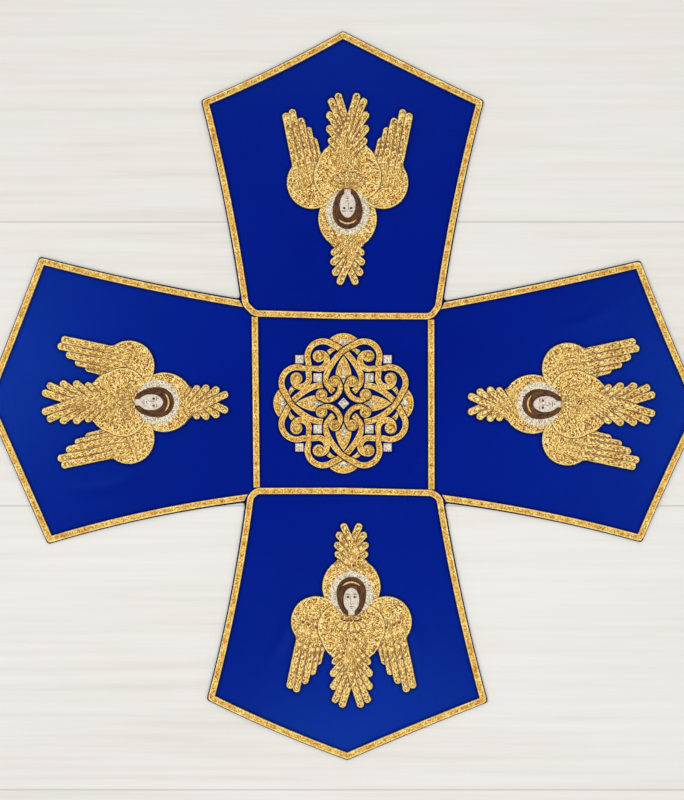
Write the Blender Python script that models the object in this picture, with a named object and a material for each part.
"""A cross-shaped chalice cover: blue cloth, gold braid, four six-winged seraphim and a centre rosette.

The origin is the middle of the centre square, on the underside of the cloth. +Z is up, the cover lies
flat with one arm along each of +Y, +X, -Y and -X. Sizes below are in millimetres unless they say
otherwise, and MM turns them into metres where the meshes are made.
"""

import math

import bmesh
import bpy
from mathutils import Vector
from mathutils.geometry import delaunay_2d_cdt

MM = 0.001
# Points nearer to each other than this are one
SAME_POINT = 0.0001
# Faces that meet at less than this angle, in radians, are one face
SAME_PLANE = 0.002

# Points along each rounded corner
CORNER_STEPS = 4

# Heights through the cover, from the surface that it lies on
CLOTH_THICKNESS = 2.2
CLOTH_EDGE_ROUND = 0.7
SEWN_GAP = 0.3
SEWN_ON = CLOTH_THICKNESS + SEWN_GAP

# Cloth outline, clockwise from the notch between the left and top arms
CORNER_ROUND = 2.0
NOTCH_ROUND = 1.6
# Columns: corner name, x, y, radius of the rounded corner, how far the side after it bows inwards
CLOTH_CORNERS = (
    ("notch_top_left", -76.3, 77.2, NOTCH_ROUND, 2.0),
    ("top_shoulder_left", -105.4, 223.6, CORNER_ROUND, 1.8),
    ("top_tip", -0.4, 275.0, CORNER_ROUND, 0.4),
    ("top_shoulder_right", 104.0, 223.4, CORNER_ROUND, 2.2),
    ("notch_top_right", 74.0, 75.6, NOTCH_ROUND, 1.1),
    ("right_shoulder_upper", 219.1, 105.7, CORNER_ROUND, 0.9),
    ("right_tip", 265.4, -4.3, CORNER_ROUND, 0.8),
    ("right_shoulder_lower", 220.2, -102.9, CORNER_ROUND, 2.6),
    ("notch_bottom_right", 74.9, -73.7, NOTCH_ROUND, 2.0),
    ("bottom_shoulder_right", 106.9, -220.6, CORNER_ROUND, 0.5),
    ("bottom_tip", 2.8, -263.6, CORNER_ROUND, -1.5),
    ("bottom_shoulder_left", -101.2, -218.9, CORNER_ROUND, 2.5),
    ("notch_bottom_left", -72.7, -73.3, NOTCH_ROUND, 3.2),
    ("left_shoulder_lower", -218.4, -104.2, CORNER_ROUND, 0.0),
    ("left_tip", -265.4, 2.7, CORNER_ROUND, 0.3),
    ("left_shoulder_upper", -224.3, 108.5, CORNER_ROUND, 1.8),
)
# Parts into which a bowed side is cut
BOW_STEPS = 6

# Braid: two edge cords with a groove between them
BRAID_WIDTH = 4.6
BRAID_INSET = 3.3
BRAID_BEND = 7.0
# Columns: place across the braid as a share of its half width, height over the underside
BRAID_PROFILE = (
    (-1.00, 0.0),
    (-1.00, 0.7),
    (-0.74, 1.2),
    (-0.36, 1.2),
    (0.00, 0.8),
    (0.36, 1.2),
    (0.74, 1.2),
    (1.00, 0.7),
    (1.00, 0.0),
)
# The side arms' braid stops this far short in a notch, with its end cut at this slant in degrees
NOTCH_STOP = 3.5
NOTCH_SLANT = 38.0
# Corners of the centre square, on the middle line of its braid, and how far two sides bow inwards
SQUARE_CORNERS = {
    "top_left": (-65.4, 66.3),
    "top_right": (64.6, 64.2),
    "bottom_right": (64.8, -66.0),
    "bottom_left": (-64.0, -64.6),
}
SQUARE_BOW = 0.8

# Figures, which were stitched a little unevenly
# Columns: arm, halo centre x, halo centre y, direction of the crown in degrees, width share, length share
FIGURES = (
    ("top", 3.0, 141.2, 270.0, 0.990, 1.030),
    ("right", 144.3, -0.6, 180.0, 1.000, 1.005),
    ("bottom", 5.8, -140.2, 90.0, 0.985, 0.990),
    ("left", -137.3, 0.8, 0.0, 1.005, 1.000),
)
# The head, in its halo; the face is a plain oval, two thirds as wide as it is high
HALO_RADIUS = 16.6
HAIR_HALF_WIDTH = 11.2
HAIR_MIDDLE = 0.6
HAIR_UP = 12.0
HAIR_DOWN = 18.0
FACE_HALF_WIDTH = 6.2
FACE_HALF_HEIGHT = 9.3
FACE_MIDDLE = -4.6
NECK_HALF_WIDTH = 2.7
NECK_END = -20.0
BAND_MIDDLE = -0.4
BAND_RADIUS = 8.9
BAND_WIDTH = 1.5
BAND_HALF_ANGLE = 46.0
BAND_END_ROOM = 2.0
HEAD_STEPS = 20
BAND_STEPS = 9
HALO_HEIGHT = 0.8
HAIR_HEIGHT = 1.0
FACE_HEIGHT = 0.7
# The wings
FEATHER_TIP_STEPS = 5
FEATHER_ROOT_SHARE = 0.8
FEATHER_HEIGHT = 0.8
ROUNDEL_HEIGHT = 1.0
BREAST_HEIGHT = 1.3

# Feathers of one half of a figure; u runs sideways and v towards the crown, from the halo's centre
# Columns: wing, tip u, tip v, root u, root v, width
FEATHERS = (
    ("upper", 6.7, 52.2, -1.0, 36.0, 5.4),
    ("upper", 10.8, 45.4, -1.0, 32.0, 5.6),
    ("upper", 12.4, 37.6, 1.0, 28.0, 5.4),
    ("upper", 12.2, 30.6, 3.0, 24.0, 5.0),
    ("side", 46.4, -70.8, 38.2, -32.0, 5.6),
    ("side", 41.6, -73.4, 34.0, -34.0, 5.6),
    ("side", 35.2, -67.2, 28.0, -34.0, 5.6),
    ("side", 29.6, -60.6, 24.0, -32.0, 5.4),
    ("side", 25.4, -53.0, 20.0, -30.0, 5.2),
    ("side", 22.8, -44.0, 17.0, -28.0, 5.0),
    ("lower", 7.6, -84.8, -0.5, -60.0, 5.6),
    ("lower", 13.2, -81.2, 1.0, -56.0, 5.6),
    ("lower", 15.0, -71.2, 1.0, -52.0, 5.6),
    ("lower", 15.2, -61.4, 2.0, -46.0, 5.6),
    ("lower", 14.0, -52.6, 3.0, -41.0, 5.2),
)
# The part of each wing where its feathers lie closed, as half outlines in u and v
WING_BODIES = {
    "upper": ((0.0, 22.0), (9.6, 25.6), (9.0, 41.0), (5.4, 46.6), (3.2, 44.6), (0.0, 39.4)),
    "side": ((42.8, -26.0), (40.8, -38.0), (43.6, -60.0), (38.0, -66.0), (30.4, -55.0), (25.6, -47.0),
             (21.0, -38.0), (14.0, -24.0)),
    "lower": ((0.0, -40.0), (10.4, -48.0), (10.2, -70.0), (7.0, -78.0), (3.4, -76.6), (0.0, -70.4)),
}
# Roundels where the wings grow from; the two upper wings share one, around the halo
SIDE_ROUNDEL = (26.4, -20.8, 18.9)
BREAST_ROUNDEL = (8.2, -25.2, 17.0)
UPPER_ROUNDEL = (0.0, 5.0, 21.9)
# Where the crossed lower and upper wings leave their roundels, as half outlines in u and v
UPPER_CROSSING = ((0.0, 16.0), (14.0, 20.0), (9.6, 25.6), (0.0, 34.0))
LOWER_CROSSING = ((0.0, -30.0), (21.6, -35.6), (12.4, -48.6), (0.0, -58.0))
ROUND_STEPS = 22

# Centre rosette, drawn for the quarter with x and y above zero
STRAP_WIDTH = 4.3
STRAP_HEIGHT = 1.1
CURL_HEIGHT = 1.3
LEAF_HEIGHT = 0.8
LOBE_CENTRE = (15.2, 34.3)
LOBE_RADIUS = 11.4
BOWL_CENTRE = (32.0, 18.6)
BOWL_RADIUS = 6.7
SCROLL_EYE_CENTRE = (34.8, 18.3)
SCROLL_EYE_RADIUS = 4.4
LINK_CENTRE = 12.6
LINK_RADIUS = 10.3
LINK_ENDS = (158.0, 292.0)
LINK_STEPS = 8
LOBE_ENDS = (125.0, -22.0)
LOBE_STEPS = 7
BOWL_ENDS = (160.0, 370.0)
BOWL_END_RADIUS = 6.1
BOWL_STEPS = 8
EYE_STEPS = 12
CAP_STEPS = 9
SMOOTH_STEPS = 2
CURL_EYE_CENTRE = (6.4, 16.2)
CURL_EYE_RADIUS = 4.2
LEAF_TIP = 35.4
LEAF_BASE = 13.5
LEAF_HALF_WIDTH = 5.6
# A leaf's half outline; columns: share of its half width, share of its length
LEAF_PROFILE = ((0.0, 0.0), (0.9, 0.25), (1.0, 0.45), (0.6, 0.75), (0.0, 1.0))
CAP_TOP = 51.7
CAP_SIDE = 46.6
CAP_HALF_WIDTH = 11.0
# One side of a pointed arch, from its inner end out to the crossing; columns: distance aside, distance out
ARCH_LONG = ((7.4, 8.6), (9.8, 10.9), (12.8, 15.4), (12.6, 21.4), (9.3, 28.0), (4.8, 34.2), (0.0, 38.8))
ARCH_SHORT = ((13.6, 15.4), (12.6, 21.4), (9.3, 28.0), (4.8, 34.2), (0.0, 38.8))
# The bud beside each scroll; columns: distance aside, distance out, width
BUD = ((13.4, 31.5, 2.4), (11.8, 36.4, 3.6), (9.0, 39.0, 2.8), (5.6, 39.8, 0.9))

# Silver pieces
SILVER_HEIGHT = 0.9
LOZENGE_HALF = 4.3
INNER_SQUARE = (19.0, 6.2)
OUTER_SQUARE = (32.5, 6.0)
LEAF_CORE = (14.6, 29.0, 1.6)
CAP_CORE_TOP = 46.9
CAP_CORE_TIP = 42.0
CAP_CORE_HALF_WIDTH = 6.4


def to_linear(level):
    """A colour level of 0 to 255, as screens count it, as light."""
    share = level / 255
    return share / 12.92 if share <= 0.04045 else ((share + 0.055) / 1.055) ** 2.4


def material(name, color, roughness, metallic):
    """A Principled material of one colour."""
    made = bpy.data.materials.new(name)
    made.use_nodes = True
    shader = made.node_tree.nodes["Principled BSDF"]
    shader.inputs["Base Color"].default_value = (*(to_linear(level) for level in color), 1.0)
    shader.inputs["Roughness"].default_value = roughness
    shader.inputs["Metallic"].default_value = metallic
    return made


def finish_object(name, mesh_data, surface):
    """Put a bmesh, in millimetres, into the scene as a named object in metres."""
    for vert in mesh_data.verts:
        vert.co *= MM
    bmesh.ops.recalc_face_normals(mesh_data, faces=mesh_data.faces)
    mesh = bpy.data.meshes.new(name)
    mesh_data.to_mesh(mesh)
    mesh_data.free()
    mesh.materials.append(surface)
    made = bpy.data.objects.new(name, mesh)
    bpy.context.scene.collection.objects.link(made)
    return made


def polar(centre, radius, degrees):
    """A point on a circle."""
    turn = math.radians(degrees)
    return Vector((centre[0] + radius * math.cos(turn), centre[1] + radius * math.sin(turn)))


def arc(centre, start_radius, end_radius, start, end, count):
    """Points along an arc or a spiral, from one angle in degrees to another."""
    points = []
    for index in range(count):
        share = index / (count - 1)
        radius = start_radius + (end_radius - start_radius) * share
        points.append(polar(centre, radius, start + (end - start) * share))
    return points


def circle(centre, radius, count):
    """A closed round outline."""
    return arc(centre, radius, radius, 0, 360, count + 1)[:-1]


def rounded(corners, radii):
    """A closed polyline with its corners rounded to arcs of the given radii."""
    points = []
    for index, (corner, radius) in enumerate(zip(corners, radii)):
        if radius == 0:
            points.append(corner)
            continue
        before = (corners[index - 1] - corner).normalized()
        after = (corners[(index + 1) % len(corners)] - corner).normalized()
        half = before.angle(after) / 2
        middle = corner + (before + after).normalized() * radius / math.sin(half)
        first = corner + before * radius / math.tan(half) - middle
        final = corner + after * radius / math.tan(half) - middle
        sweep = first.angle_signed(final)
        start = math.degrees(math.atan2(first.y, first.x))
        points += arc(middle, radius, radius, start, start - math.degrees(sweep), CORNER_STEPS)
    return points


def bowed(start, end, bow):
    """The points between the ends of a straight side after it is bowed to its right."""
    ahead = end - start
    aside = Vector((ahead.y, -ahead.x)).normalized()
    points = []
    for step in range(1, BOW_STEPS):
        share = step / BOW_STEPS
        points.append(start + ahead * share + aside * bow * 4 * share * (1 - share))
    return points


def with_bowed_sides(names, place):
    """The line through the named corners of the cloth, one after another, with its sides bowed."""
    bows = {name: bow for name, *_, bow in CLOTH_CORNERS}
    line = [place[names[0]]]
    for name, following in zip(names, names[1:]):
        line += bowed(place[name], place[following], bows[name]) + [place[following]]
    return line


def smooth(controls):
    """A Catmull-Rom curve through the control points, which may hold a width as a third value."""
    points = [Vector(control) for control in controls]
    ends = [points[0] * 2 - points[1]] + points + [points[-1] * 2 - points[-2]]
    line = []
    for index in range(1, len(ends) - 2):
        a, b, c, d = ends[index - 1 : index + 3]
        for step in range(SMOOTH_STEPS):
            t = step / SMOOTH_STEPS
            square = (2 * a - 5 * b + 4 * c - d) * t**2
            cube = (3 * b - a - 3 * c + d) * t**3
            line.append((2 * b + (c - a) * t + square + cube) / 2)
    return line + [points[-1]]


def across(line, closed, start_slant=0.0, end_slant=0.0):
    """For each point of a line, the vector that moves it sideways by one, mitred at the corners."""
    sides = []
    count = len(line)
    for index, point in enumerate(line):
        before = line[index] - line[index - 1] if index or closed else line[1] - line[0]
        after = line[(index + 1) % count] - line[index] if index < count - 1 or closed else before
        ahead = (before.normalized() + after.normalized()).normalized()
        side = Vector((-ahead.y, ahead.x))
        stretch = 1 / math.cos(before.angle(after) / 2)
        if not closed and index in (0, count - 1):
            slant = math.radians(start_slant if index == 0 else end_slant)
            side = side * math.cos(slant) + ahead * math.sin(slant)
            stretch = 1 / math.cos(slant)
        sides.append(side * stretch)
    return sides


def strip(line, widths):
    """The closed outline of a flat strip along an open line."""
    sides = across(line, False)
    right = [point - side * width / 2 for point, side, width in zip(line, sides, widths)]
    left = [point + side * width / 2 for point, side, width in zip(line, sides, widths)]
    return right + left[::-1]


def cover_faces(outlines):
    """The parts into which closed outlines cut the plane, each with the outlines that cover it."""
    points = []
    loops = []
    for outline in outlines:
        turned = zip(outline, list(outline[1:]) + [outline[0]])
        area = sum(here[0] * after[1] - after[0] * here[1] for here, after in turned)
        loops.append(list(range(len(points), len(points) + len(outline))))
        points += [Vector((point[0], point[1])) for point in (outline if area > 0 else outline[::-1])]
    places, _, faces, _, _, owners = delaunay_2d_cdt(points, [], loops, 1, SAME_POINT)
    return places, faces, owners


def stepped_solid(name, layers, holes, surface, base=SEWN_ON):
    """One solid over the union of flat layers, as high at each place as its highest layer there.

    layers holds pairs of an outline and a height over the base; the holes are cut right through.
    """
    outlines = [outline for outline, _ in layers] + holes
    places, faces, owners = cover_faces(outlines)
    level_of = {}
    for index, owner in enumerate(owners):
        if owner and max(owner) < len(layers):
            level_of[index] = base + max(layers[layer][1] for layer in owner)
    sides = {}
    levels = {}
    for index, level in level_of.items():
        face = faces[index]
        for corner, following in zip(face, face[1:] + face[:1]):
            sides[corner, following] = level
            levels.setdefault(corner, set()).update((level, base))
    made = bmesh.new()
    corners = {}

    def corner_at(place, level):
        key = place, level
        if key not in corners:
            corners[key] = made.verts.new((*places[place], level))
        return corners[key]

    for index, level in level_of.items():
        made.faces.new([corner_at(place, level) for place in faces[index]])
        made.faces.new([corner_at(place, base) for place in reversed(faces[index])])
    for (start, end), level in sides.items():
        beyond = sides.get((end, start), base)
        if level > beyond:
            up = sorted(step for step in levels[start] if beyond <= step <= level)
            down = sorted((step for step in levels[end] if beyond <= step <= level), reverse=True)
            wall = [corner_at(start, step) for step in up] + [corner_at(end, step) for step in down]
            made.faces.new(wall)
    for vert in [vert for vert in made.verts if not vert.link_faces]:
        made.verts.remove(vert)
    bmesh.ops.dissolve_limit(made, angle_limit=SAME_PLANE, verts=made.verts, edges=made.edges)
    return finish_object(name, made, surface)


def build_cloth(surface):
    """The cross-shaped cloth, one slab with rounded edges."""
    place = {name: Vector((x, y)) for name, x, y, *_ in CLOTH_CORNERS}
    names = list(place)
    radii = []
    for *_, radius, _ in CLOTH_CORNERS:
        radii += [radius] + [0] * (BOW_STEPS - 1)
    outline = rounded(with_bowed_sides(names + names[:1], place)[:-1], radii)
    made = bmesh.new()
    bottom = made.faces.new([made.verts.new((*point, 0.0)) for point in outline])
    top = bmesh.ops.extrude_face_region(made, geom=[bottom])["geom"]
    lifted = [item for item in top if isinstance(item, bmesh.types.BMVert)]
    bmesh.ops.translate(made, vec=(0, 0, CLOTH_THICKNESS), verts=lifted)
    rims = [edge for edge in made.edges if abs(edge.verts[0].co.z - edge.verts[1].co.z) < CLOTH_THICKNESS / 2]
    bmesh.ops.bevel(made, geom=rims, offset=CLOTH_EDGE_ROUND, segments=2, profile=0.5, affect="EDGES")
    return finish_object("cloth", made, surface)


def inset(corners, distance):
    """The corners of a clockwise outline moved inwards."""
    sides = across(corners, True)
    return [corner - side * distance for corner, side in zip(corners, sides)]


def braid(name, line, closed, surface, start_slant=0.0, end_slant=0.0):
    """A length of braid along a flat line."""
    made = bmesh.new()
    rings = []
    for point, side in zip(line, across(line, closed, start_slant, end_slant)):
        ring = []
        for share, height in BRAID_PROFILE:
            place = point + side * share * BRAID_WIDTH / 2
            ring.append(made.verts.new((*place, SEWN_ON + height)))
        rings.append(ring)
    pairs = list(zip(rings, rings[1:]))
    if closed:
        pairs.append((rings[-1], rings[0]))
    else:
        made.faces.new(rings[0])
        made.faces.new(reversed(rings[-1]))
    for ring, following in pairs:
        for index in range(len(ring)):
            after = (index + 1) % len(ring)
            made.faces.new((ring[index], following[index], following[after], ring[after]))
    return finish_object(name, made, surface)


def build_braids(surface):
    """Braid around every arm and the centre square; the top and bottom arms' runs on into the square."""
    names = [name for name, *_ in CLOTH_CORNERS]
    corners = inset([Vector((x, y)) for _, x, y, *_ in CLOTH_CORNERS], BRAID_INSET)
    place = dict(zip(names, corners))
    square = {name: Vector(corner) for name, corner in SQUARE_CORNERS.items()}
    bow = Vector((0.0, SQUARE_BOW))

    for arm, first, last, shoulders, inwards in (
        ("top", "top_left", "top_right", ("top_shoulder_left", "top_shoulder_right"), -bow),
        ("bottom", "bottom_right", "bottom_left", ("bottom_shoulder_right", "bottom_shoulder_left"), bow),
    ):
        middle = (square[first] + square[last]) / 2 + inwards
        edge = ["notch_" + first, shoulders[0], arm + "_tip", shoulders[1], "notch_" + last]
        line = with_bowed_sides(edge, place)
        route = [square[first]] + line + [square[last], middle]
        bends = [BRAID_BEND] * 2 + [0] * (len(line) - 2) + [BRAID_BEND] * 2 + [0]
        braid("braid_" + arm, rounded(route, bends), True, surface)

    # The side arms' braid stops against the top and bottom arms' braid in each notch
    for name, notches, route in (
        ("right", ("notch_top_right", "notch_bottom_right"),
         ("right_shoulder_upper", "right_tip", "right_shoulder_lower")),
        ("left", ("notch_bottom_left", "notch_top_left"),
         ("left_shoulder_lower", "left_tip", "left_shoulder_upper")),
    ):
        line = with_bowed_sides([notches[0], *route, notches[1]], place)
        line[0] += (line[1] - line[0]).normalized() * NOTCH_STOP
        line[-1] += (line[-2] - line[-1]).normalized() * NOTCH_STOP
        braid("braid_" + name, line, False, surface, NOTCH_SLANT, -NOTCH_SLANT)

    # The left and right sides of the square stop under its top and bottom sides
    reach = BRAID_WIDTH / 2 + SEWN_GAP
    for name in ("left", "right"):
        upper = square["top_" + name]
        lower = square["bottom_" + name]
        line = [lower + Vector((0.0, reach)), upper - Vector((0.0, reach))]
        braid("braid_square_" + name, line, False, surface)


def figure_frame(halo_x, halo_y, crown, width_share, length_share):
    """A function that takes a point in a figure's own u and v to its place on the cover."""
    up = Vector((math.cos(math.radians(crown)), math.sin(math.radians(crown))))
    aside = Vector((up.y, -up.x)) * width_share
    up = up * length_share
    halo = Vector((halo_x, halo_y))
    return lambda point: halo + aside * point[0] + up * point[1]


def feather(tip, root, width):
    """A feather's outline: straight sides and a round tip."""
    tip, root = Vector(tip), Vector(root)
    ahead = (tip - root).normalized()
    side = Vector((-ahead.y, ahead.x)) * width / 2
    middle = tip - ahead * width / 2
    angle = math.degrees(math.atan2(ahead.y, ahead.x))
    base = [root + side * FEATHER_ROOT_SHARE, root - side * FEATHER_ROOT_SHARE]
    return base + arc(middle, width / 2, width / 2, angle - 90, angle + 90, FEATHER_TIP_STEPS)


def egg(middle, half_width, up, down, grow=0.0):
    """A closed oval with its own reach up and down from its widest place, made larger by grow all round."""
    points = []
    for index in range(HEAD_STEPS):
        turn = math.tau * index / HEAD_STEPS
        reach = (up if math.sin(turn) > 0 else down) + grow
        points.append(Vector(((half_width + grow) * math.cos(turn), middle + reach * math.sin(turn))))
    return points


def both_sides(outline):
    """An outline and its mirror image over the figure's middle line."""
    return outline, [Vector((-u, v)) for u, v in reversed(outline)]


def whole_outline(half):
    """The outline of a form that is the same on both sides of the middle line, from its half."""
    return list(half) + [(-u, v) for u, v in reversed(half) if u]


def build_wings(arm, placed, surface):
    """The six wings of a figure as one solid, with the roundels higher than the feathers."""
    layers = []
    for _, tip_u, tip_v, root_u, root_v, width in FEATHERS:
        for outline in both_sides(feather((tip_u, tip_v), (root_u, root_v), width)):
            layers.append((placed(outline), FEATHER_HEIGHT))
    for outline in both_sides(WING_BODIES["side"]):
        layers.append((placed(outline), FEATHER_HEIGHT))
    for wing in ("upper", "lower"):
        layers.append((placed(whole_outline(WING_BODIES[wing])), FEATHER_HEIGHT))
    layers.append((placed(circle(UPPER_ROUNDEL[:2], UPPER_ROUNDEL[2], ROUND_STEPS)), ROUNDEL_HEIGHT))
    layers.append((placed(whole_outline(UPPER_CROSSING)), ROUNDEL_HEIGHT))
    for roundel, height in ((SIDE_ROUNDEL, ROUNDEL_HEIGHT), (BREAST_ROUNDEL, BREAST_HEIGHT)):
        for outline in both_sides(circle(roundel[:2], roundel[2], ROUND_STEPS)):
            layers.append((placed(outline), height))
    layers.append((placed(whole_outline(LOWER_CROSSING)), BREAST_HEIGHT))
    halo_hole = placed(circle((0, 0), HALO_RADIUS + SEWN_GAP, ROUND_STEPS))
    stepped_solid("wings_" + arm, layers, [halo_hole], surface)


def hair_outline(grow=0.0):
    """The outer edge of the hair, made larger by grow."""
    return egg(HAIR_MIDDLE, HAIR_HALF_WIDTH, HAIR_UP, HAIR_DOWN, grow)


def face_outlines(grow=0.0):
    """The face's oval and its neck, made larger by grow."""
    side = NECK_HALF_WIDTH + grow
    neck = [(-side, NECK_END), (side, NECK_END), (side, FACE_MIDDLE), (-side, FACE_MIDDLE)]
    return [egg(FACE_MIDDLE, FACE_HALF_WIDTH, FACE_HALF_HEIGHT, FACE_HALF_HEIGHT, grow), neck]


def band_outline(grow=0.0, end_room=0.0):
    """The headband, made wider by grow on each side and longer by end_room at each end, in degrees."""
    half_angle = BAND_HALF_ANGLE + end_room
    line = arc((0, BAND_MIDDLE), BAND_RADIUS, BAND_RADIUS, 90 - half_angle, 90 + half_angle, BAND_STEPS)
    return strip(line, [BAND_WIDTH + 2 * grow] * BAND_STEPS)


def below_halo():
    """The space outside the lower half of the halo, which cuts the hair and neck off at its rim."""
    reach = 2 * HALO_RADIUS
    rim = arc((0, 0), HALO_RADIUS, HALO_RADIUS, 0, -180, HEAD_STEPS)
    return [(-reach, -reach), (reach, -reach), (reach, 0)] + rim + [(-reach, 0)]


def build_head(arm, placed, silver, brown, pale, cream):
    """The halo, the hair and headband inside it, and the face inside the hair."""
    halo = placed(circle((0, 0), HALO_RADIUS, ROUND_STEPS))
    stepped_solid("halo_" + arm, [(halo, HALO_HEIGHT)], [placed(hair_outline(SEWN_GAP))], silver)
    hair_holes = [placed(outline) for outline in face_outlines(SEWN_GAP)]
    hair_holes += [placed(band_outline(SEWN_GAP, BAND_END_ROOM)), placed(below_halo())]
    stepped_solid("hair_" + arm, [(placed(hair_outline()), HAIR_HEIGHT)], hair_holes, brown)
    stepped_solid("band_" + arm, [(placed(band_outline()), HAIR_HEIGHT)], [], pale)
    face = [(placed(outline), FACE_HEIGHT) for outline in face_outlines()]
    stepped_solid("face_" + arm, face, [placed(below_halo())], cream)


def strap_line(arch):
    """The middle of a strap: up the far side of an arch, round a lobe, over the diagonal, into a scroll."""
    lobe = arc(LOBE_CENTRE, LOBE_RADIUS, LOBE_RADIUS, *LOBE_ENDS, LOBE_STEPS)
    bowl = arc(BOWL_CENTRE, BOWL_RADIUS, BOWL_END_RADIUS, *BOWL_ENDS, BOWL_STEPS)
    inner = smooth([(-aside, out) for aside, out in arch] + [lobe[0]])
    return inner[:-1] + lobe + bowl


def quarters(outline):
    """The four mirror images of an outline in the first quarter."""
    made = []
    for x_sign, y_sign in ((1, 1), (-1, 1), (-1, -1), (1, -1)):
        image = [Vector((point[0] * x_sign, point[1] * y_sign)) for point in outline]
        made.append(image if x_sign * y_sign > 0 else image[::-1])
    return made


def over_diagonal(points):
    """The mirror image over the quarter's diagonal, with any third value kept."""
    return [(point[1], point[0], *point[2:]) for point in points]


def strap_outline(points, width=STRAP_WIDTH):
    """A strap of even width along a line."""
    line = [Vector(point) for point in points]
    return strip(line, [width] * len(line))


def rosette_straps(grow=0.0):
    """Outlines of the rosette's eight straps, made wider by grow on each side."""
    width = STRAP_WIDTH + 2 * grow
    upright = strap_outline(strap_line(ARCH_LONG), width)
    level = strap_outline(over_diagonal(strap_line(ARCH_SHORT)), width)
    return quarters(upright) + quarters(level)


def leaf_outline(base, tip, half_width):
    """A pointed leaf along +Y."""
    right = smooth([(half_width * out, base + (tip - base) * along) for out, along in LEAF_PROFILE])
    return right + [Vector((-x, y)) for x, y in right[-2:0:-1]]


def around_axes(outline):
    """The outline along +Y and its three turns by a quarter."""
    made = []
    for turns in range(4):
        angle = -math.tau * turns / 4
        cosine, sine = round(math.cos(angle)), round(math.sin(angle))
        made.append([Vector((x * cosine - y * sine, x * sine + y * cosine)) for x, y in outline])
    return made


def cap_outline():
    """The gold cap on the +Y axis: a lens, cut off where its silver core starts."""
    rise = CAP_TOP - CAP_SIDE
    radius = (CAP_HALF_WIDTH**2 + rise**2) / (2 * rise)
    half_angle = math.degrees(math.asin(CAP_HALF_WIDTH / radius))
    top = arc((0, CAP_TOP - radius), radius, radius, 90 + half_angle, 90 - half_angle, CAP_STEPS)
    low = CAP_CORE_TOP + SEWN_GAP
    return top + [Vector((CAP_CORE_HALF_WIDTH, low)), Vector((-CAP_CORE_HALF_WIDTH, low))]


def build_rosette(surface):
    """The interlaced gold straps, with their links, scrolls, buds, leaves and caps, as one solid."""
    layers = [(outline, STRAP_HEIGHT) for outline in rosette_straps()]
    link = arc((LINK_CENTRE, LINK_CENTRE), LINK_RADIUS, LINK_RADIUS, *LINK_ENDS, LINK_STEPS)
    layers += [(outline, CURL_HEIGHT) for outline in quarters(strap_outline(link))]
    for centre, radius in ((CURL_EYE_CENTRE, CURL_EYE_RADIUS), (SCROLL_EYE_CENTRE, SCROLL_EYE_RADIUS)):
        for place in (centre, centre[::-1]):
            layers += [(outline, CURL_HEIGHT) for outline in quarters(circle(place, radius, EYE_STEPS))]
    for rows in (BUD, over_diagonal(BUD)):
        line = smooth(rows)
        bud = strip([Vector(point[:2]) for point in line], [point[2] for point in line])
        layers += [(outline, LEAF_HEIGHT) for outline in quarters(bud)]
    leaves = around_axes(leaf_outline(LEAF_BASE, LEAF_TIP, LEAF_HALF_WIDTH))
    layers += [(outline, LEAF_HEIGHT) for outline in leaves + around_axes(cap_outline())]
    base, tip, half_width = LEAF_CORE
    core_rooms = around_axes(leaf_outline(base - SEWN_GAP, tip + 2 * SEWN_GAP, half_width + SEWN_GAP))
    stepped_solid("rosette", layers, core_rooms, surface)


def build_silver(surface):
    """The silver pieces of the rosette, cut clear of the gold straps."""
    straps = rosette_straps(SEWN_GAP)
    cap_core = [(-CAP_CORE_HALF_WIDTH, CAP_CORE_TOP), (0, CAP_CORE_TIP), (CAP_CORE_HALF_WIDTH, CAP_CORE_TOP)]
    outlines = {"leaf_core": around_axes(leaf_outline(*LEAF_CORE)), "cap_core": around_axes(cap_core)}
    for name, (middle, size) in (("inner_square", INNER_SQUARE), ("outer_square", OUTER_SQUARE)):
        low, high = middle - size / 2, middle + size / 2
        outlines[name] = quarters([(low, low), (high, low), (high, high), (low, high)])
    for name, images in outlines.items():
        holes = [] if name == "leaf_core" else straps
        for number, outline in enumerate(images, 1):
            stepped_solid(f"{name}_{number}", [(outline, SILVER_HEIGHT)], holes, surface)
    lozenge = [(0, -LOZENGE_HALF), (LOZENGE_HALF, 0), (0, LOZENGE_HALF), (-LOZENGE_HALF, 0)]
    stepped_solid("centre_lozenge", [(lozenge, SILVER_HEIGHT)], [], surface)


def main():
    for item in list(bpy.data.objects):
        bpy.data.objects.remove(item)
    blue = material("cloth_blue", (8, 36, 140), 0.55, 0.0)
    braid_gold = material("gold_braid", (214, 172, 96), 0.45, 0.3)
    gold = material("gold_thread", (206, 160, 84), 0.5, 0.3)
    silver = material("silver_thread", (214, 208, 200), 0.5, 0.2)
    brown = material("brown_thread", (84, 48, 30), 0.6, 0.0)
    cream = material("face_thread", (226, 208, 190), 0.6, 0.0)
    pale = material("pale_gold_thread", (232, 206, 138), 0.5, 0.2)
    build_cloth(blue)
    build_braids(braid_gold)
    for arm, *frame in FIGURES:
        place = figure_frame(*frame)

        def placed(outline, place=place):
            return [place(point) for point in outline]

        build_wings(arm, placed, gold)
        build_head(arm, placed, silver, brown, pale, cream)
    build_rosette(gold)
    build_silver(silver)


main()
